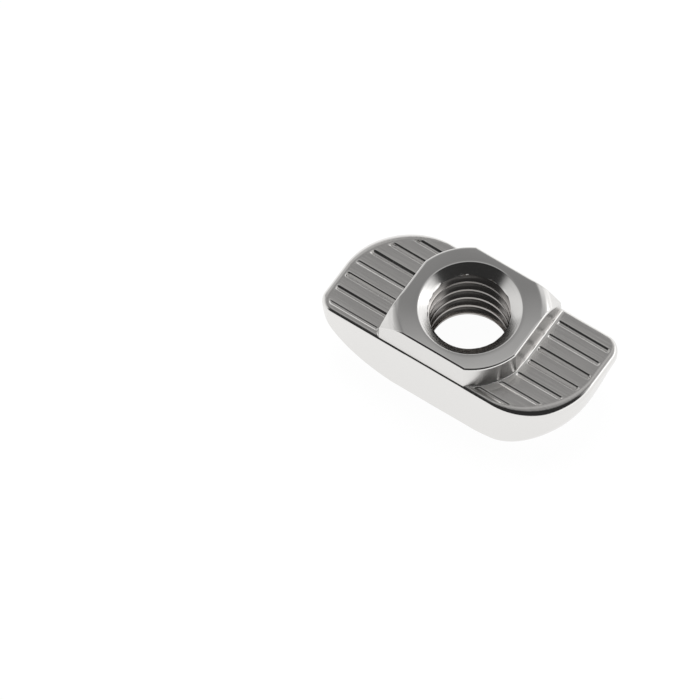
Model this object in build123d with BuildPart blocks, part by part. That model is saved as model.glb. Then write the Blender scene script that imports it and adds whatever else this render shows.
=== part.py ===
"""Quarter-turn T-slot nut with an M6 thread, for an 8 mm slot.

All lengths are in millimetres. The thread axis is Z, with the origin on it at the flat underside.
X runs along the hammer head, Y across the slot, and the boss that fits the slot points up, +Z.
Seen from above the nut looks the same after half a turn: at two opposite corners it is cut back
so that it can swing in the slot, and at the other two it stays square and stops against the wall.
"""

from build123d import *

import os
from math import cos, hypot, radians, sin, tan

# Head, which turns under the lips of the slot
head_length = 17.2
head_width = 8.0
head_height = 4.75
swing_overlap = 0.5
swing_corner_radius = head_width / 2 + swing_overlap
stop_corner_radius = 1.1
wing_edge_radius = 0.3

# Turned underside: a flat ring round the hole, then a convex dome out to the ends
flat_overlap = 1.0
flat_radius = head_width / 2 + flat_overlap
dome_setback = 3.0
dome_radius = head_length / 2 - dome_setback
dome_start_angle = 12.5
dome_blend_radius = 1.5
belly_edge_radius = 0.6

# Serrations, broached along both wings
serration_pitch = 1.08
serration_offset = -0.21
serration_count = 7
serration_depth = 0.13
serration_width = 0.34
serration_root_width = 0.12

# Boss, which fits between the lips
boss_height = 1.9
boss_clearance = 0.125
boss_overhang = 0.65
boss_width = head_width - 2 * boss_clearance
boss_length = boss_width + boss_overhang
boss_swing_overlap = 0.175
boss_swing_radius = boss_length / 2 + boss_swing_overlap
boss_draft = 3.0
boss_corner_radius = 0.15
boss_edge_radius = 0.2
boss_root_radius = 0.18

# Turned chamfer on the square corners of the boss
chamfer_start_radius = 4.65
chamfer_angle = 45.0

# Tapping hole for M6 x 1, countersunk at both ends
tapping_diameter = 5.0
top_sink_diameter = 6.4
top_sink_angle = 90.0
under_sink_diameter = 7.1
under_sink_angle = 82.0
rim_radius = 0.12

top_height = head_height + boss_height
boss_middle = head_height + boss_height / 2
boss_corner_distance = hypot(boss_length, boss_width) / 2
tolerance = 1e-3


def stop_corners(vertices):
    """Pick the square corners, in the quadrants where X and Y have the same sign."""
    return vertices.filter_by(lambda v: v.X * v.Y > 0)


def swing_corners(vertices):
    """Pick the corners that lead when the nut turns, where X and Y have opposite signs."""
    return vertices.filter_by(lambda v: v.X * v.Y < 0)


def is_turned(edge, radius):
    """True for an arc of this radius round the thread axis."""
    if edge.geom_type != GeomType.CIRCLE or abs(edge.radius - radius) > tolerance:
        return False
    return hypot(edge.arc_center.X, edge.arc_center.Y) < tolerance


def lies_at(edge, height):
    """True for an edge that keeps to one height."""
    box = edge.bounding_box()
    return abs(box.min.Z - height) < tolerance and abs(box.max.Z - height) < tolerance


def is_beyond(edge, radius):
    """True for an edge whose middle is further than this from the thread axis."""
    middle = edge @ 0.5
    return hypot(middle.X, middle.Y) > radius


def spans(edge, low, high):
    """True for an edge that rises from at or below one height to at or above another."""
    box = edge.bounding_box()
    return box.min.Z < low + tolerance and box.max.Z > high - tolerance


def draw_boss_outline():
    """Draw the boss in plan: round about the thread axis where it swings, square where it stops."""
    Rectangle(boss_length, boss_width)
    Circle(boss_swing_radius, mode=Mode.INTERSECT)
    with Locations((boss_length / 4, boss_width / 4), (-boss_length / 4, -boss_width / 4)):
        Rectangle(boss_length / 2, boss_width / 2)


# One broached row of serrations, stopped short of the boss's foot on each wing
with BuildPart() as serration_cutter:
    with BuildSketch(Plane.YZ.offset(-head_length / 2)) as serration_row:
        for number in range(serration_count):
            y = serration_offset + (number - (serration_count - 1) / 2) * serration_pitch
            with BuildLine():
                Polyline(
                    (y - serration_width / 2, head_height),
                    (y - serration_root_width / 2, head_height - serration_depth),
                    (y + serration_root_width / 2, head_height - serration_depth),
                    (y + serration_width / 2, head_height),
                    (y + serration_width / 2, top_height),
                    (y - serration_width / 2, top_height),
                    close=True,
                )
            make_face()
    extrude(amount=head_length)
    with BuildSketch() as foot_plan:
        draw_boss_outline()
        offset(amount=boss_root_radius)
    extrude(amount=top_height, mode=Mode.SUBTRACT)

with BuildPart() as nut:
    # The head: its plan, standing straight up
    with BuildSketch() as head_plan:
        Rectangle(head_length, head_width)
        fillet(stop_corners(head_plan.vertices()), radius=stop_corner_radius)
        fillet(swing_corners(head_plan.vertices()), radius=swing_corner_radius)
    extrude(amount=head_height)

    # The turned underside, swept about the thread axis and kept where it meets the head
    dome_centre_x = flat_radius - dome_radius * sin(radians(dome_start_angle))
    dome_centre_z = dome_radius * cos(radians(dome_start_angle))
    with BuildSketch(Plane.XZ) as turned_profile:
        with BuildLine():
            flat = Line((0, 0), (flat_radius, 0))
            dome = CenterArc(
                (dome_centre_x, dome_centre_z),
                dome_radius,
                start_angle=-90 + dome_start_angle,
                arc_size=90 - dome_start_angle,
            )
            Polyline(dome @ 1, dome @ 1 + (0, head_height), (0, dome_centre_z + head_height), flat @ 0)
        make_face()
        fillet(turned_profile.vertices().sort_by_distance((flat_radius, 0, 0))[0], radius=dome_blend_radius)
    revolve(axis=Axis.Z, mode=Mode.INTERSECT)

    # Rounded edges of the head, a fine one round the wing tops and a softer one round the belly
    fillet(nut.edges().group_by(Axis.Z)[-1], radius=wing_edge_radius)
    wall_top = head_height - wing_edge_radius
    belly_edges = nut.edges().filter_by(lambda e: e.bounding_box().max.Z < wall_top - tolerance)
    fillet(belly_edges.filter_by(GeomType.CIRCLE, reverse=True), radius=belly_edge_radius)

    # The boss, drafted on every side: round where it swings in the slot, square where it stops
    with BuildSketch(Plane.XY.offset(wall_top)) as boss_plan:
        draw_boss_outline()
    extrude(amount=top_height - wall_top, taper=boss_draft)

    # Turned chamfer over the square corners
    chamfer_drop = (boss_corner_distance - chamfer_start_radius) * tan(radians(chamfer_angle))
    with BuildSketch(Plane.XZ) as chamfer_profile:
        with BuildLine():
            Polyline(
                (chamfer_start_radius, top_height),
                (boss_corner_distance, top_height),
                (boss_corner_distance, top_height - chamfer_drop),
                close=True,
            )
        make_face()
    revolve(axis=Axis.Z, mode=Mode.SUBTRACT)

    # Soft edges on the boss: the square corners, the foot of its end walls, then its top
    uprights = nut.edges().filter_by(lambda e: spans(e, head_height, top_height - chamfer_drop))
    fillet(uprights, radius=boss_corner_radius)
    wing_level = nut.edges().filter_by(lambda e: lies_at(e, head_height))
    fillet(wing_level.filter_by(lambda e: not is_beyond(e, boss_corner_distance)), radius=boss_root_radius)
    rim = nut.edges().filter_by(lambda e: e.bounding_box().min.Z > boss_middle)
    fillet(rim.filter_by(lambda e: not is_turned(e, chamfer_start_radius)), radius=boss_edge_radius)

    # The tapping hole, countersunk from above and, deeper, from below
    with Locations((0, 0, top_height)):
        CounterSinkHole(tapping_diameter / 2, top_sink_diameter / 2, counter_sink_angle=top_sink_angle)
    with Locations(Location((0, 0, 0), (180, 0, 0))):
        CounterSinkHole(tapping_diameter / 2, under_sink_diameter / 2, counter_sink_angle=under_sink_angle)
    top_rim = nut.edges().filter_by(lambda e: is_turned(e, top_sink_diameter / 2))
    under_rim = nut.edges().filter_by(lambda e: is_turned(e, under_sink_diameter / 2))
    fillet(top_rim + under_rim, radius=rim_radius)

    add(serration_cutter.part, mode=Mode.SUBTRACT)

nut.part.label = "t_slot_nut"
os.makedirs("parts", exist_ok=True)
export_step(nut.part, "parts/t_slot_nut.step")
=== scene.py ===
from math import cos, pi, radians, sin, sqrt, tan

import bmesh
import bpy
import numpy as np
from mathutils import Matrix, Vector


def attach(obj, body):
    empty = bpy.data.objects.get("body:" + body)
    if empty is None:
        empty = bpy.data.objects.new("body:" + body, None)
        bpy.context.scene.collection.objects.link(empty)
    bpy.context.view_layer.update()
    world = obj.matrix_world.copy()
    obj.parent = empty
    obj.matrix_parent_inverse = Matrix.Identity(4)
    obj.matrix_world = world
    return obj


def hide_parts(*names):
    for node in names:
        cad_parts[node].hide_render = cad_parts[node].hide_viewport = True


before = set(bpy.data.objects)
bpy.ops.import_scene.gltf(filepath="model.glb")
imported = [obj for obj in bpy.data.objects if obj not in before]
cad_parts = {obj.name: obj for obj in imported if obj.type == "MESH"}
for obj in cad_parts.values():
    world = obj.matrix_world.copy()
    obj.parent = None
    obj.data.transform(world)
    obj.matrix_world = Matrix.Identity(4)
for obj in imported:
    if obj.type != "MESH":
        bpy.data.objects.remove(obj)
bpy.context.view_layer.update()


# --- Camera ---
# A long lens looks down on the nut from the side where the boss's round corner
# faces it, so that the boss, both serrated wings and the thread show.

view_azimuth = radians(32.53)
view_elevation = radians(61.72)
view_roll = radians(0.94)
view_distance = 1.2167

towards_camera = Vector((
    sin(view_azimuth) * cos(view_elevation),
    -cos(view_azimuth) * cos(view_elevation),
    sin(view_elevation),
))
level_right = Vector((cos(view_azimuth), sin(view_azimuth), 0.0))
level_up = towards_camera.cross(level_right)
right = level_right * cos(view_roll) + level_up * sin(view_roll)
up = level_up * cos(view_roll) - level_right * sin(view_roll)

camera_data = bpy.data.cameras.new("long_lens")
camera_data.sensor_width = 36.0
camera_data.lens = 1028.6
camera_data.shift_x = -0.1703
camera_data.shift_y = 0.0143
camera = bpy.data.objects.new("camera", camera_data)
camera.matrix_world = Matrix.Translation(towards_camera * view_distance) @ Matrix(
    (right, up, towards_camera)).transposed().to_4x4()
bpy.context.collection.objects.link(camera)
bpy.context.scene.camera = camera
bpy.context.scene.view_settings.view_transform = "Standard"


# --- Nut: the plan of the head and of the boss ---
# A steel hammer head, 17.2 by 8 mm, cut back at two opposite corners so that it
# can swing round in its slot. The boss on it has the same two corners turned off.
# Lengths are in millimetres until the mesh is made.

head_half_length = 8.6
head_half_width = 4.0
wing_height = 4.75
top_height = 6.65
swing_radius = 4.5
stop_radius = 1.1
side_rim = 0.27
swing_rim = 0.58
end_rim = 0.4

boss_half_length = 4.187
boss_half_width = 3.862
boss_swing_radius = 4.362
boss_corner = 0.15
boss_root = 0.18
boss_draft = tan(radians(3.0))
boss_edge = 0.17
chamfer_start = 4.65
chamfer_blend = 0.35

belly_side = 0.4
belly_swing = 1.0
end_run = 0.9
swing_fullness = 0.8

swing_centre = np.array((head_half_length - swing_radius, swing_radius - head_half_width))
stop_centre = np.array((head_half_length - stop_radius, head_half_width - stop_radius))


def eased(value):
    """A soft step from 0 to 1."""
    value = np.clip(value, 0.0, 1.0)
    return value * value * (3.0 - 2.0 * value)


def wing_outline():
    """Closely spaced points, outward normals and rim and belly radii round one wing's end."""
    turn = np.linspace(-pi / 2, 0.0, 400)
    arc = np.c_[np.cos(turn), np.sin(turn)]
    rise = np.linspace(swing_centre[1], stop_centre[1], 200)[1:-1]
    corner = np.linspace(0.0, pi / 2, 200)
    stop = np.c_[np.cos(corner), np.sin(corner)]
    points = np.vstack((
        swing_centre + swing_radius * arc,
        np.c_[np.full(len(rise), head_half_length), rise],
        stop_centre + stop_radius * stop,
    ))
    normals = np.vstack((arc, np.tile((1.0, 0.0), (len(rise), 1)), stop))
    swing_share = np.r_[np.sin(2.0 * (turn + pi / 2)) ** swing_fullness,
                        np.zeros(len(rise) + len(corner))]
    end_share = np.r_[eased((turn + pi / 2) / end_run), np.ones(len(rise)),
                      1.0 - eased(corner / (pi / 2))]
    widening = swing_rim - end_rim / 2 - side_rim / 2
    rim = side_rim + (end_rim - side_rim) * end_share + widening * swing_share
    belly = belly_side + (belly_swing - belly_side) * end_share
    return points, normals, rim, belly


# --- Nut: the underside ---
# Turned about the thread axis: a flat ring round the deeper countersink, then a
# convex dome that thins both wings. The edges round the swing corners are rolled
# over softly.

flat_radius = 5.0
dome_radius = 5.6
dome_start = radians(12.5)


def dome_height(radius):
    """Height of the underside at a distance from the thread axis."""
    centre = flat_radius - dome_radius * sin(dome_start)
    lift = dome_radius * cos(dome_start)
    out = np.clip(radius - centre, 0.0, 0.999 * dome_radius)
    return np.where(radius < flat_radius, 0.0, lift - np.sqrt(dome_radius ** 2 - out ** 2))


# --- Nut: the serrations' rows ---
# Both wings are broached in one straight pass along the head. The mesh has close
# rows at each cut's edges. The cuts themselves come later, with the thread.

serration_pitch = 1.08
serration_offset = -0.21
serration_width = 0.34
serration_root = 0.12
serration_count = 7
serration_depth = 0.13
land_crown = 0.01
cut_rows = (0.0, 0.045, 0.065, 0.09, 0.13, 0.165, 0.19, 0.22)
row_gap = 0.006
clear_of_cuts = 0.025


def wing_rows(side):
    """Places in Y of the mesh rows of a wing; side -1 is the wing turned half round."""
    limit = head_half_width - side_rim
    rows = [-limit, limit]
    rows += list(np.linspace(-limit, limit, 50))
    turn = np.linspace(0.0, pi / 2, 28)
    rows += list(swing_centre[1] - (swing_radius - side_rim) * np.cos(turn))
    rows += list(limit - (stop_radius - side_rim) * (1.0 - np.sin(turn[::2])))
    close = []
    for number in range(serration_count):
        from_middle = number - (serration_count - 1) / 2
        centre = side * (serration_offset + from_middle * serration_pitch)
        for part in cut_rows:
            close += [centre - part, centre + part]
    rows = [y for y in rows if np.min(np.abs(np.array(close) - y)) > clear_of_cuts]
    rows = np.array(rows + close)
    rows = np.unique(rows[np.abs(rows) < limit - row_gap])
    gaps = np.diff(rows) > row_gap
    return np.r_[-limit, rows[np.r_[True, gaps]], limit]


# --- Nut: mesh ---
# Rings and rows follow every edge, so that the plated faces stay true and their
# reflections run clean from one face to the next. The nut is the same after half a turn.

sink_ring = 3.45
under_ring = 3.85
side_line = head_half_width - side_rim
swing_root = 0.05
root_change = 1.2
least_wall = 0.25
wall_parts = (0.02, 0.2, 0.4, 0.6, 0.8, 0.98)
outer_wall_parts = (0.02, 0.15, 0.35, 0.55, 0.75, 0.9, 0.98)
wing_columns = np.r_[0.0, 0.006, 0.015, 0.024, 0.034, 0.05, np.linspace(0.08, 0.92, 18),
                     0.945, 0.957, 0.967, 0.976, 0.985, 0.994, 1.0]


def crown(spot):
    """Height of the boss's top, which its turned chamfer rolls down over the square corners."""
    past = (np.hypot(*spot) - chamfer_start) / chamfer_blend
    drop = max(past, 0.0) if abs(past) > 1.0 else (past + 1.0) ** 2 / 4.0
    return top_height - chamfer_blend * drop


def boss_station(x, y, normal, foot_point, foot_radius, foot_height):
    """Points from the foot of the boss up its wall and over its edge."""
    plan = np.array((x, y))
    normal = np.array(normal)
    points = []

    def place(inset, height):
        spot = plan - normal * inset
        points.append((spot[0], spot[1], height))

    points.append((foot_point[0], foot_point[1], foot_height))
    for part in np.linspace(0.0, pi / 2, 7)[1:]:
        height = foot_height + foot_radius * (1.0 - cos(part))
        place((height - wing_height) * boss_draft - foot_radius * (1.0 - sin(part)), height)
    base = foot_height + foot_radius

    edge_height = top_height
    for _ in range(30):
        edge_height = crown(plan - normal * (edge_height - wing_height) * boss_draft)
    inset = (edge_height - wing_height) * boss_draft
    reach = np.hypot(*(plan - normal * inset))
    slope = float(np.clip(((reach - chamfer_start) / chamfer_blend + 1.0) / 2.0, 0.0, 1.0))
    slope *= float(normal @ plan) / np.hypot(*plan)
    down = np.array((-boss_draft, -1.0)) / sqrt(1.0 + boss_draft ** 2)
    inward = np.array((1.0, slope)) / sqrt(1.0 + slope ** 2)
    half = np.arccos(np.clip(down @ inward, -1.0, 1.0)) / 2
    tangent = boss_edge / tan(half)
    middle = (down + inward) / np.linalg.norm(down + inward)
    corner = np.array((inset, edge_height))
    centre = corner + middle * boss_edge / sin(half)
    start = corner + down * tangent
    finish = corner + inward * tangent
    for part in wall_parts:
        height = base + (start[1] - base) * part
        place((height - wing_height) * boss_draft, height)
    first = (start - centre) / boss_edge
    last = (finish - centre) / boss_edge
    spread = np.arccos(np.clip(first @ last, -1.0, 1.0))
    for part in np.linspace(0.0, 1.0, 10):
        across = (sin((1 - part) * spread) * first + sin(part * spread) * last) / sin(spread)
        spot = centre + across * boss_edge
        place(spot[0], min(spot[1], top_height))
    return points


def with_top(stations):
    """Carry the stations in from the boss's edge to a ring round the countersink."""
    ends = np.array([station[-1][:2] for station in stations])
    angles = np.unwrap(np.arctan2(ends[:, 1], ends[:, 0]))
    angles = np.maximum.accumulate(angles + np.arange(len(angles)) * 1e-6)
    grid = []
    for station, end, angle in zip(stations, ends, angles):
        ring = sink_ring * np.array((cos(angle), sin(angle)))
        spots = [end + (ring - end) * part for part in np.r_[0.012, np.linspace(0.0, 1.0, 26)[1:]]]
        grid.append(np.vstack((station, [(*spot, crown(spot)) for spot in spots])))
    return np.array(grid + grid[:1])


def root_radius(y):
    """The boss's foot is rounded along its square half and nearly sharp round its swing arc."""
    return swing_root + (boss_root - swing_root) * float(eased((y + root_change) / root_change))


def foot_x(y):
    """Where the boss's foot ends on the wing: along its end wall, then round its swing arc."""
    root = root_radius(y)
    return min(boss_half_length + root, sqrt((boss_swing_radius + root) ** 2 - min(y, 0.0) ** 2))


def rim_level(y):
    """Height of the rounded rim along the sides of the head."""
    out = np.clip(abs(y) - side_line, 0.0, side_rim)
    return wing_height - side_rim + sqrt(side_rim ** 2 - out ** 2)


def outline_station(point, normal, start, rim, belly):
    """Points from the wing's rim down the wall, round the belly's edge and in underneath."""
    point = np.array(point)
    normal = np.array(normal)
    points = []
    wall_top = wing_height - rim
    for turn in np.linspace(start, 0.0, 12):
        spot = point - normal * rim * (1.0 - cos(turn))
        points.append((spot[0], spot[1], wall_top + rim * sin(turn)))
    lift = float(np.clip(wall_top - least_wall - dome_height(np.hypot(*point)), 0.05, belly))
    bottom = float(dome_height(np.hypot(*point))) + lift
    for part in outer_wall_parts:
        points.append((point[0], point[1], wall_top + (bottom - wall_top) * part))
    for turn in np.linspace(0.0, pi / 2, 14):
        inset = belly * (1.0 - cos(turn))
        spot = point - normal * inset
        height = float(dome_height(np.hypot(*spot))) + lift * (1.0 - sin(turn))
        points.append((spot[0], spot[1], height))
    distance = np.hypot(*spot)
    direction = spot / distance
    bend = min(distance, flat_radius)
    for part in np.r_[0.015, np.linspace(0.0, 1.0, 14)[1:]]:
        radius = distance + (bend - distance) * part
        points.append((*(direction * radius), float(dome_height(radius - 1e-9))))
    for part in (0.03, 0.35, 0.7, 1.0):
        points.append((*(direction * (bend + (under_ring - bend) * part)), 0.0))
    return points


def half_nut(side):
    """Grids for one wing and the half of the boss and of the outline that go with it."""
    points, normals, rims, bellies = wing_outline()
    inner = points - normals * rims[:, None]
    order = np.maximum.accumulate(inner[:, 1] + np.arange(len(inner)) * 1e-9)
    rows = wing_rows(side)
    place = np.interp(rows, order, np.arange(len(order), dtype=float))

    def along(values):
        return np.interp(place, np.arange(len(values)), values)

    rim_points = np.c_[along(points[:, 0]), along(points[:, 1])]
    rim_normals = np.c_[along(normals[:, 0]), along(normals[:, 1])]
    rim_normals /= np.linalg.norm(rim_normals, axis=1)[:, None]
    rim_radii = along(rims)
    belly_radii = along(bellies)
    ends = rim_points - rim_normals * rim_radii[:, None]
    ends[:, 1] = rows

    boss_corner_y = boss_half_width - boss_corner
    arc_end = -sqrt(boss_swing_radius ** 2 - boss_half_length ** 2)
    feet = []
    walls = []
    wall_normals = []
    for y in rows:
        if y < boss_corner_y:
            foot = np.array((foot_x(y), y))
            along_arc = foot / np.hypot(*foot)
            arc_pull = y * swing_root / (boss_swing_radius + swing_root)
            drawn_in = arc_pull * (1.0 - float(eased(y - arc_end)))
            on_arc = foot[0] < boss_half_length + root_radius(y) - 1e-6
            end_wall = (boss_half_length, y - drawn_in)
            walls.append(along_arc * boss_swing_radius if on_arc else end_wall)
            share = float(eased((arc_end - y) / 0.3 + 0.5))
            normal = along_arc * share + np.array((1.0, 0.0)) * (1.0 - share)
            wall_normals.append(normal / np.hypot(*normal))
        else:
            turn = np.arcsin((y - boss_corner_y) / (boss_corner + boss_root))
            normal = np.array((cos(turn), sin(turn)))
            centre = np.array((boss_half_length - boss_corner, boss_corner_y))
            foot = centre + (boss_corner + boss_root) * normal
            walls.append(centre + boss_corner * normal)
            wall_normals.append(normal)
        feet.append(foot)
    feet = np.array(feet)

    wing = np.zeros((len(rows), len(wing_columns), 3))
    for number, y in enumerate(rows):
        wing[number, :, 0] = feet[number, 0] + (ends[number, 0] - feet[number, 0]) * wing_columns
        wing[number, :, 1] = y
        wing[number, :, 2] = wing_height
    boss = [boss_station(*wall, normal, foot, root_radius(foot[1]), wing_height)
            for wall, normal, foot in zip(walls, wall_normals, feet)]
    edge = [outline_station((x, -head_half_width), (0.0, -1.0), pi / 2, side_rim, belly_side)
            for x in wing[0, :, 0]]
    edge += [outline_station(point, normal, pi / 2, rim, belly) for point, normal, rim, belly
             in zip(rim_points, rim_normals, rim_radii, belly_radii)][1:-1]
    edge += [outline_station((x, head_half_width), (0.0, 1.0), pi / 2, side_rim, belly_side)
             for x in wing[-1, ::-1, 0]]

    side_stations = []
    first_turn = np.arcsin((side_line - boss_corner_y) / (boss_corner + boss_root))
    centre = np.array((boss_half_length - boss_corner, boss_corner_y))
    for part in np.linspace(0.0, 1.0, 14)[1:]:
        turn = first_turn + (pi / 2 - first_turn) * part
        normal = np.array((cos(turn), sin(turn)))
        wall = centre + boss_corner * normal
        radius = boss_root * (1.0 - part) ** 2
        side_stations.append((wall, normal, wall + normal * radius, radius))
    vertex_x = sqrt(boss_swing_radius ** 2 - boss_half_width ** 2)
    for x in np.linspace(centre[0] - 0.05, -vertex_x + 0.12, 60):
        wall = np.array((x, boss_half_width))
        side_stations.append((wall, np.array((0.0, 1.0)), wall, 0.0))
    vertex_turn = np.arcsin(boss_half_width / boss_swing_radius)
    last_turn = np.arcsin(side_line / (boss_swing_radius + swing_root))
    for part in (0.0, 0.36, 0.52, 0.68, 0.84):
        turn = vertex_turn + (last_turn - vertex_turn) * part
        normal = np.array((-cos(turn), sin(turn)))
        wall = boss_swing_radius * normal
        if part == 0.0:
            normal = normal + np.array((0.0, 1.0))
            normal /= np.hypot(*normal)
        radius = swing_root * part ** 2
        side_stations.append((wall, normal, wall + normal * radius, radius))
    for wall, normal, foot, radius in side_stations:
        level = rim_level(foot[1])
        boss.append(boss_station(*wall, normal, foot, radius, level))
        start = np.arcsin(np.clip((level - wing_height + side_rim) / side_rim, 0.0, 1.0))
        edge.append(outline_station((foot[0], head_half_width), (0.0, 1.0), start,
                                    side_rim, belly_side))
    return wing, boss, edge


def turned(grid):
    """The same points after half a turn about the thread axis."""
    return np.array(grid) * np.array((-1.0, -1.0, 1.0))


outline_points, outline_normals, outline_rims, _ = wing_outline()
rim_line = outline_points - outline_normals * outline_rims[:, None]
rim_line[:, 1] = np.maximum.accumulate(rim_line[:, 1] + np.arange(len(rim_line)) * 1e-9)
boss_loop = []
edge_loop = []
wing_grids = []
for side in (1, -1):
    wing, boss, edge = half_nut(side)
    if side == 1:
        wing_grids.append(np.array(wing))
        boss_loop += [np.array(station) for station in boss]
        edge_loop += [np.array(station) for station in edge]
    else:
        wing_grids.append(turned(wing))
        boss_loop += [turned(station) for station in boss]
        edge_loop += [turned(station) for station in edge]

boss_grid = with_top(boss_loop)
edge_grid = np.array(edge_loop + edge_loop[:1])


# --- Nut: the hole ---
# Tapped M6 by 1 right through and countersunk at both ends, deeper below. The rows
# of the mesh climb with the thread, so that its crests stay sharp.

thread_pitch = 1.0
crest_radius = 2.45
thread_root = 3.02
top_sink = 3.2
top_tilt = radians(39.0)
top_bell = 0.08
under_sink = 3.55
under_half_angle = radians(41.0)
rim_round = 0.12
hole_columns = 240
thread_rows = (0.0, 0.05, 0.1, 0.125, 0.15, 0.2, 0.3, 0.4, 0.5,
               0.53, 0.56, 0.59, 0.62, 0.7, 0.8, 0.88, 0.94, 0.97)


def rounded_rim(sink, tilt):
    """Radius and depth along the rounded rim of a countersink, from the outside in."""
    reach = rim_round * tan(tilt / 2)
    return [(sink + reach - rim_round * sin(turn), rim_round * (1.0 - cos(turn)))
            for turn in np.linspace(0.0, tilt, 7)]


upper_rim = [(radius, top_height - depth) for radius, depth in rounded_rim(top_sink, top_tilt)]
lower_rim = rounded_rim(under_sink, pi / 2 - under_half_angle)
hole_top = upper_rim[-1][1]
hole_bottom = lower_rim[-1][1]


def hole_radius(height):
    """Radius of the hole before tapping."""
    sunk = hole_top - height
    upper = upper_rim[-1][0] - sunk / tan(top_tilt) + top_bell * sunk ** 2 if sunk < 1.0 else 0.0
    lower = lower_rim[-1][0] - (height - hole_bottom) * tan(under_half_angle)
    return max(crest_radius, upper, lower)


hole_grid = []
levels = [number + part for number in range(-1, 7) for part in thread_rows]
for turn in np.linspace(0.0, 2 * pi, hole_columns + 1):
    line = list(upper_rim)
    for level in sorted(levels, reverse=True):
        height = min(max((level + turn / (2 * pi)) * thread_pitch, hole_bottom), hole_top)
        line.append((hole_radius(height), height))
    line += reversed(lower_rim)
    hole_grid.append([(radius * cos(turn), radius * sin(turn), height) for radius, height in line])
hole_grid = np.array(hole_grid)


# --- Nut: joining the mesh ---
# All grids meet point for point, apart from the two flat rings round the hole,
# which are closed by triangles between their two circles.

shell = bmesh.new()


def add_grid(grid):
    """Put a grid of millimetre points into the shell in metres."""
    rows, columns = grid.shape[:2]
    corners = [[shell.verts.new(tuple(point / 1000.0)) for point in row] for row in grid]
    for row in range(rows - 1):
        for column in range(columns - 1):
            shell.faces.new((corners[row][column], corners[row + 1][column],
                             corners[row + 1][column + 1], corners[row][column + 1]))


def close_ring(outer, inner):
    """Fill the flat ring between two circles of points about the thread axis."""
    def sorted_ring(points):
        angles = np.arctan2(points[:, 1], points[:, 0]) % (2 * pi)
        order = np.argsort(angles)
        points, angles = points[order], angles[order]
        keep = np.r_[True, np.diff(angles) > 1e-6]
        return points[keep], angles[keep]

    outer, outer_angles = sorted_ring(outer)
    inner, inner_angles = sorted_ring(inner)
    outside = [shell.verts.new(tuple(point / 1000.0)) for point in outer]
    inside = [shell.verts.new(tuple(point / 1000.0)) for point in inner]
    a = b = 0
    while a < len(outside) or b < len(inside):
        next_outer = outer_angles[a + 1] if a + 1 < len(outside) else outer_angles[0] + 2 * pi
        next_inner = inner_angles[b + 1] if b + 1 < len(inside) else inner_angles[0] + 2 * pi
        if b >= len(inside) or (a < len(outside) and next_outer <= next_inner):
            shell.faces.new((outside[a], outside[(a + 1) % len(outside)], inside[b % len(inside)]))
            a += 1
        else:
            shell.faces.new((outside[a % len(outside)], inside[(b + 1) % len(inside)], inside[b]))
            b += 1


for grid in wing_grids + [boss_grid, edge_grid, hole_grid]:
    add_grid(grid)
close_ring(boss_grid[:-1, -1], hole_grid[:-1, 0])
close_ring(edge_grid[:-1, -1], hole_grid[:-1, -1])
bmesh.ops.remove_doubles(shell, verts=shell.verts, dist=3e-7)
bmesh.ops.dissolve_degenerate(shell, edges=shell.edges, dist=1e-7)
bmesh.ops.recalc_face_normals(shell, faces=shell.faces)

# How deep each cut goes on either wing, and where cuts and thread run out
left_wear = (0.35, 0.8, 1.3, 0.45, 1.0, 1.1, 0.8)
right_wear = (0.35, 0.4, 0.5, 1.2, 1.1, 0.5, 0.7)
cut_start, cut_run_in = 0.03, 0.1
cut_end, cut_run_out = 0.06, 0.14
thread_below_rim, thread_run_in = 0.5, 0.2
wing_layer = shell.verts.layers.float.new("wing")
wear_layer = shell.verts.layers.float.new("wear")
bore_layer = shell.verts.layers.float.new("bore")
for vert in shell.verts:
    x, y, z = (part * 1000.0 for part in vert.co)
    radius = sqrt(x * x + y * y)
    across = y if x > 0.0 else -y
    past_foot = abs(x) - foot_x(across)
    if past_foot > 0.005 and z > wing_height - swing_rim and abs(y) < side_line + 0.02:
        reach = np.interp(across, rim_line[:, 1], rim_line[:, 0]) - abs(x)
        vert[wing_layer] = float(eased((past_foot - cut_start) / cut_run_in)
                                 * eased((reach - cut_end) / cut_run_out))
    number = round((y - serration_offset) / serration_pitch) + serration_count // 2
    number = min(max(number, 0), serration_count - 1)
    vert[wear_layer] = right_wear[number] if x > 0.0 else left_wear[number]
    if radius < thread_root + 0.01 and hole_bottom < z < hole_top:
        vert[bore_layer] = float(eased((hole_top - thread_below_rim - z) / thread_run_in))

nut_mesh = bpy.data.meshes.new("nut")
shell.to_mesh(nut_mesh)
shell.free()
blank = bpy.data.objects.new("nut_blank", nut_mesh)
bpy.context.collection.objects.link(blank)


# --- Nut: plated steel ---
# Bright nickel over machined and tumbled steel: near mirror, with a little satin on
# the wings and the boss's walls, the tool's circles in the countersinks and fine
# broaching lines along the wings. Its colour is painted darker in the bore and a
# little darker on the wings: painted shade.

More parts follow.
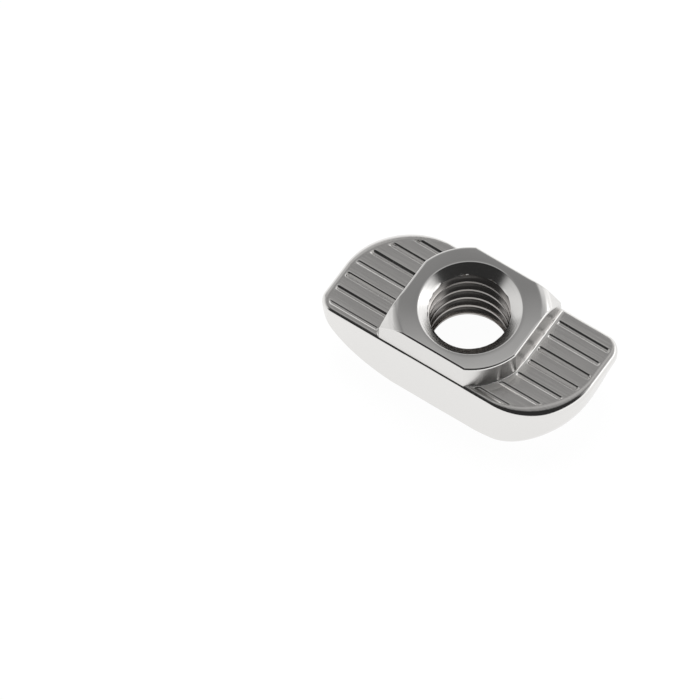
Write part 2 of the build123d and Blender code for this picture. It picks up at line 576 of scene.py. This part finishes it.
class Wire:
    """One output socket of a node tree, so that a sum of wires reads as plain arithmetic."""

    def __init__(self, tree, socket=None):
        self.tree = tree
        self.socket = socket

    def node(self, kind, settings, sockets, output=0):
        """Add a node, first its settings, then its sockets, and return one output."""
        made = self.tree.nodes.new(kind)
        for name, value in settings.items():
            setattr(made, name, value)
        for name, value in sockets.items():
            if isinstance(value, Wire):
                self.tree.links.new(value.socket, made.inputs[name])
            else:
                made.inputs[name].default_value = value
        return Wire(self.tree, made.outputs[output])

    def maths(self, operation, *values):
        """One Math node."""
        return self.node("ShaderNodeMath", {"operation": operation}, dict(enumerate(values)))

    def __add__(self, other):
        return self.maths("ADD", self, other)

    __radd__ = __add__

    def __sub__(self, other):
        return self.maths("SUBTRACT", self, other)

    def __rsub__(self, other):
        return self.maths("SUBTRACT", other, self)

    def __mul__(self, other):
        return self.maths("MULTIPLY", self, other)

    __rmul__ = __mul__

    def __truediv__(self, other):
        return self.maths("DIVIDE", self, other)

    def __abs__(self):
        return self.maths("ABSOLUTE", self)

    def step(self, low, high):
        """Rise softly from 0 to 1 as this goes from low to high."""
        return self.node("ShaderNodeMapRange", {"interpolation_type": "SMOOTHSTEP"},
                         {"Value": self, "From Min": low, "From Max": high})

    def parts(self):
        """The three components of a vector."""
        return [self.node("ShaderNodeSeparateXYZ", {}, {"Vector": self}, axis) for axis in "XYZ"]

    def vector(self, x, y, z):
        """A vector from its three components."""
        return self.node("ShaderNodeCombineXYZ", {}, {"X": x, "Y": y, "Z": z})


def noise(wires, place, scale, detail):
    """Soft noise about 0.5."""
    return wires.node("ShaderNodeTexNoise", {"noise_dimensions": "3D"},
                      {"Vector": place, "Scale": scale, "Detail": detail})


def empty_tree(owner):
    """Turn on an owner's node tree and clear it."""
    owner.use_nodes = True
    owner.node_tree.nodes.clear()
    return Wire(owner.node_tree)


def connect(wires, surface, kind):
    """Lead a shader to its tree's output."""
    output = wires.tree.nodes.new(kind)
    wires.tree.links.new(surface.socket, output.inputs["Surface"])


satin = {"everywhere": 0.09, "wing": 0.1, "bore": 0.03, "boss": 0.18, "sink": 0.05, "grain": 0.06}
relief_depth = {"circles": 0.003, "broaching": 0.01, "tumbling": 0.03, "grain": 0.0002,
                "rolled top": 0.08}
bright_nickel = (0.78, 0.77, 0.755, 1.0)
# A darker copy of the nickel, used as painted shade in the bore and on the wings
nickel_in_painted_shade = (0.52, 0.495, 0.475, 1.0)
wing_painted_shade = 0.35

nickel = bpy.data.materials.new("nickel_plated_steel")
steel = empty_tree(nickel)
place = steel.node("ShaderNodeTexCoord", {}, {}, "Object")
x, y, z = [part * 1000.0 for part in place.parts()]
radius = steel.maths("SQRT", x * x + y * y)
upright = abs(steel.node("ShaderNodeNewGeometry", {}, {}, "Normal").parts()[2])

# Where each finish lies, by distance from the axis, height and how level the face is
in_sink = (1.0 - radius.step(3.1, 3.25)) * upright.step(0.3, 0.6)
on_wing = (upright.step(0.8, 0.97) * radius.step(4.2, 4.5)
           * z.step(4.3, 4.6) * (1.0 - z.step(4.78, 4.85)))
on_boss = (1.0 - upright.step(0.25, 0.5)) * z.step(4.7, 4.85) * radius.step(3.3, 3.4)
in_bore = (1.0 - radius.step(3.0, 3.1)) * (1.0 - z.step(5.7, 5.95)) * z.step(0.9, 1.1)

circles = noise(steel, steel.vector(z * 22.0, radius * 3.0, 0.0), 1.0, 3.0)
broaching = noise(steel, steel.vector(x * 0.25, y * 8.0, 0.0), 1.0, 2.0)
tumbling = noise(steel, steel.vector(x, y, z), 0.35, 0.0)
grain = noise(steel, steel.vector(x, y, z), 14.0, 3.0)
along_boss = abs(x / boss_half_length)
across_boss = abs(y / boss_half_width)
rolled_top = steel.maths("MINIMUM", along_boss * along_boss * along_boss
                         + across_boss * across_boss * across_boss, 1.2)
relief = (circles * in_sink * relief_depth["circles"]
          + broaching * on_wing * relief_depth["broaching"]
          + tumbling * relief_depth["tumbling"]
          + grain * (1.0 - on_boss) * relief_depth["grain"]
          - rolled_top * relief_depth["rolled top"])
bumped = steel.node("ShaderNodeBump", {}, {
    "Strength": 1.0, "Distance": 0.001, "Height": relief}, "Normal")
roughness = (satin["everywhere"] + satin["wing"] * on_wing + satin["bore"] * in_bore
             + satin["boss"] * on_boss + satin["sink"] * in_sink + satin["grain"] * grain)
# Painted shade: the bore takes the darker nickel fully, the wings a share of it
painted_shade_share = steel.maths("MAXIMUM", in_bore, on_wing * wing_painted_shade)
plating = steel.node("ShaderNodeMix", {"data_type": "RGBA"}, {
    0: painted_shade_share, 6: bright_nickel, 7: nickel_in_painted_shade}, 2)
surface = steel.node("ShaderNodeBsdfPrincipled", {}, {
    "Base Color": plating, "Metallic": 1.0, "Roughness": roughness, "Normal": bumped})
connect(steel, surface, "ShaderNodeOutputMaterial")


# --- Nut: thread and serrations ---
# The tap's triangular groove climbs the bore one millimetre a turn, and the broach's
# straight grooves cross both wings. Both repeat one profile at one pitch.

root_middle, root_half_width = 0.5625, 0.0625
flank_slope = sqrt(3.0)
wear_width = 0.25
root_softness, edge_softness = 0.2, 0.5

cutting = bpy.data.node_groups.new("tap_and_broach", "GeometryNodeTree")
cutting.interface.new_socket("Geometry", in_out="INPUT", socket_type="NodeSocketGeometry")
cutting.interface.new_socket("Geometry", in_out="OUTPUT", socket_type="NodeSocketGeometry")
sizes = {
    "Thread Pitch": thread_pitch / 1000.0,
    "Crest Radius": crest_radius / 1000.0,
    "Root Radius": thread_root / 1000.0,
    "Thread Start": 0.0,
    "Serration Pitch": serration_pitch / 1000.0,
    "Serration Offset": serration_offset / 1000.0,
    "Serration Depth": serration_depth / 1000.0,
    "Serration Width": serration_width / 1000.0,
    "Serration Root": serration_root / 1000.0,
    "Land Crown": land_crown / 1000.0,
    "Wing Height": wing_height / 1000.0,
}
for name in sizes:
    cutting.interface.new_socket(name, in_out="INPUT", socket_type="NodeSocketFloat")
cutting.interface.new_socket("Material", in_out="INPUT", socket_type="NodeSocketMaterial")
cut = Wire(cutting)
given = cutting.nodes.new("NodeGroupInput")


def size_of(name):
    """A named size of the cutting tree."""
    return Wire(cutting, given.outputs[name])


position = cut.node("GeometryNodeInputPosition", {}, {})
px, py, pz = position.parts()
reach = cut.maths("SQRT", px * px + py * py)
bore_share, wing_share, wear = [
    cut.node("GeometryNodeInputNamedAttribute", {"data_type": "FLOAT"}, {"Name": name}, "Attribute")
    for name in ("bore", "wing", "wear")]

turn = cut.maths("ARCTAN2", py, px) / (2 * pi)
phase = cut.maths("FRACT", (pz - size_of("Thread Start")) / size_of("Thread Pitch") - turn)
from_root = abs(phase - root_middle)
up_flank = cut.maths("MAXIMUM", from_root - root_half_width, 0.0)
flank = up_flank * size_of("Thread Pitch") * flank_slope
groove = cut.maths("MAXIMUM", size_of("Root Radius") - flank, size_of("Crest Radius"))
tapped = cut.maths("MAXIMUM", groove, reach)
stretch = 1.0 + (tapped / reach - 1.0) * bore_share

row = (py - size_of("Serration Offset")) / size_of("Serration Pitch")
from_middle = abs(cut.maths("FRACT", row + 0.5) - 0.5) * size_of("Serration Pitch")
widened = 1.0 - wear_width + wear_width * wear
wall_part = ((from_middle / widened - size_of("Serration Root") / 2.0)
             / ((size_of("Serration Width") - size_of("Serration Root")) / 2.0))
rounded = cut.maths("SMOOTH_MAX", 0.0,
                    cut.maths("SMOOTH_MIN", 1.0, 1.0 - wall_part, root_softness), edge_softness)
from_land = 1.0 - 2.0 * from_middle / size_of("Serration Pitch")
land_drop = from_land * from_land * size_of("Land Crown")
depth = (rounded * size_of("Serration Depth") * wear + land_drop) * wing_share
level = cut.maths("MINIMUM", pz, size_of("Wing Height") - depth)
on_land = wing_share / cut.maths("MAXIMUM", wing_share, 0.000001)
cut_height = pz + (level - pz) * on_land
moved = cut.vector(px * stretch, py * stretch, cut_height)
start = Wire(cutting, given.outputs["Geometry"])
shaped = cut.node("GeometryNodeSetPosition", {}, {"Geometry": start, "Position": moved})
whole = cut.node("GeometryNodeRealizeInstances", {}, {"Geometry": shaped})
coated = cut.node("GeometryNodeSetMaterial", {}, {
    "Geometry": whole, "Material": size_of("Material")})
result = cutting.nodes.new("NodeGroupOutput")
cutting.links.new(coated.socket, result.inputs["Geometry"])

tool = blank.modifiers.new("tap_and_broach", "NODES")
tool.node_group = cutting
for item in cutting.interface.items_tree:
    if item.in_out == "INPUT" and item.name in sizes:
        tool[item.identifier] = sizes[item.name]
    if item.in_out == "INPUT" and item.name == "Material":
        tool[item.identifier] = nickel

sharp_angle = radians(26.0)
bpy.context.view_layer.update()
evaluated = blank.evaluated_get(bpy.context.evaluated_depsgraph_get())
finished = bpy.data.meshes.new_from_object(evaluated)
finished.name = "nut"
nut = bpy.data.objects.new("nut", finished)
bpy.context.collection.objects.link(nut)
bpy.data.objects.remove(blank)
for polygon in finished.polygons:
    polygon.use_smooth = True
finished.set_sharp_from_angle(angle=sharp_angle)
for edge in finished.edges:
    ends = [finished.vertices[index].co for index in edge.vertices]
    if all(abs(end.z) < 1e-7 and abs(end.xy.length - flat_radius / 1000.0) < 1e-7 for end in ends):
        edge.use_edge_sharp = True

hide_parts("t_slot_nut")
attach(nut, "root")


# --- Floor ---
# A plain white paper sweep under the nut. It reads white to the eye and in the
# plating, and keeps the nut's soft shadow. In the plating's reflections its glow has a
# painted shadow where it lies under the nut, with a painted pool of light under the hole.

floor_reach = 1.5
paper_glow = 1.03
glow_share = 0.94
patch_shift = 0.0012
painted_light_patch = (0.0004, 0.0019)
painted_shade_round = (0.0034, 0.0042)
least_painted_shade = 0.3

floor_corners = [(-floor_reach, -floor_reach, 0.0), (floor_reach, -floor_reach, 0.0),
                 (floor_reach, floor_reach, 0.0), (-floor_reach, floor_reach, 0.0)]
floor_mesh = bpy.data.meshes.new("floor")
floor_mesh.from_pydata(floor_corners, [], [(0, 1, 2, 3)])
floor = bpy.data.objects.new("floor", floor_mesh)
bpy.context.collection.objects.link(floor)
paper = bpy.data.materials.new("white_paper")
card = empty_tree(paper)
camera_ray, glossy_ray, through_ray = [
    card.node("ShaderNodeLightPath", {}, {}, "Is %s Ray" % kind)
    for kind in ("Camera", "Glossy", "Transmission")]
seen_directly = card.maths("MAXIMUM", camera_ray, card.maths("MAXIMUM", glossy_ray, through_ray))

matt = card.node("ShaderNodeBsdfDiffuse", {}, {"Color": (0.9, 0.9, 0.9, 1.0)})
bright = card.node("ShaderNodeEmission", {}, {
    "Color": (1.0, 1.0, 1.0, 1.0), "Strength": paper_glow})
fx, fy, _ = card.node("ShaderNodeTexCoord", {}, {}, "Object").parts()
from_axis = card.maths("SQRT", fx * fx + fy * fy)
patch_x = fx + patch_shift * sin(view_azimuth)
patch_y = fy - patch_shift * cos(view_azimuth)
from_patch = card.maths("SQRT", patch_x * patch_x + patch_y * patch_y)
# Painted shadow and painted light: for reflections the paper's glow is cut away under the nut, all
# but a lighter patch under the hole
painted_shade_under_nut = ((least_painted_shade + (1.0 - least_painted_shade) * from_patch.step(*painted_light_patch))
             * (1.0 - from_axis.step(*painted_shade_round)))
lit = card.maths("MAXIMUM", camera_ray, seen_directly * (1.0 - painted_shade_under_nut))
sweep = card.node("ShaderNodeMixShader", {}, {0: lit * glow_share, 1: matt, 2: bright})
connect(card, sweep, "ShaderNodeOutputMaterial")
floor_mesh.materials.append(paper)


# --- Light ---
# A tent of white cloth, greyer overhead, with a dark opening on the camera's side and
# a small lamp glowing through it low on the left and right. One broad lamp above
# lights only the floor and sets the shadow.

world = bpy.data.worlds.new("tent")
bpy.context.scene.world = world
tent = empty_tree(world)
dx, dy, dz = tent.node("ShaderNodeTexCoord", {}, {}, "Generated").parts()
level = tent.maths("SQRT", dx * dx + dy * dy + 0.01)
towards = (dx * sin(view_azimuth) - dy * cos(view_azimuth)) / level
away = 0.0 - towards
rightwards_part = dx * cos(view_azimuth) + dy * sin(view_azimuth)
leftwards = (0.0 - rightwards_part) / level

# The opening, its sill higher on the right
sill = 0.25 - leftwards.step(-0.75, -0.25) * 0.25
opening = towards.step(0.2, 0.5) * (dz - sill).step(-0.02, 0.1)

# The walls end at a seam behind the nut and thin out slowly upwards everywhere else
thinning = tent.maths("MAXIMUM", abs(leftwards + 0.1).step(0.1, 0.45), towards.step(-0.5, -0.2))
wall = (1.0 - dz.step(0.33, 0.4)) * (1.0 - thinning) + (1.0 - dz) * thinning
far_corner = (away.step(0.45, 0.7) * leftwards.step(-0.35, -0.1)
              * (1.0 - leftwards.step(0.72, 0.84)))
wall_glow = 1.05 - leftwards.step(0.5, 0.9) * 0.3 - far_corner * 0.45

# The roof: lighter behind, darker over the opening, lightest at its leaning top
behind = away.step(0.6, 0.9) * dz.step(0.45, 0.6) * (1.0 - dz.step(0.72, 0.87))
overhead = towards.step(-0.35, 0.1) * dz.step(0.6, 0.8)
roof_lean = radians(8.0)
roof_top = (rightwards_part * sin(roof_lean) + dz * cos(roof_lean)).step(0.845, 0.94)

side_lamps = abs(leftwards).step(0.7, 0.9) * dz.step(0.2, 0.3) * (1.0 - dz.step(0.38, 0.48))
cloth = ((0.215 + behind * 0.22 + wall * wall_glow) * (1.0 - overhead * 0.6)
         + side_lamps * (0.5 - leftwards * 0.4))
shade = cloth * (1.0 - opening) + opening * 0.03 + roof_top * 0.32
seen_by_camera = tent.node("ShaderNodeLightPath", {}, {}, "Is Camera Ray")
strength = shade * (1.0 - seen_by_camera) + seen_by_camera
glow = tent.node("ShaderNodeBackground", {}, {"Color": (1.0, 1.0, 1.0, 1.0), "Strength": strength})
connect(tent, glow, "ShaderNodeOutputWorld")

lamp_data = bpy.data.lights.new("overhead_lamp", "AREA")
lamp_data.shape = "DISK"
lamp_data.size = 0.25
lamp_data.energy = 0.9
lamp = bpy.data.objects.new("overhead_lamp", lamp_data)
lamp.location = (-0.1, 0.12, 0.35)
lamp.rotation_euler = Vector(lamp.location).to_track_quat("Z", "Y").to_euler()
lamp.visible_glossy = False
bpy.context.collection.objects.link(lamp)
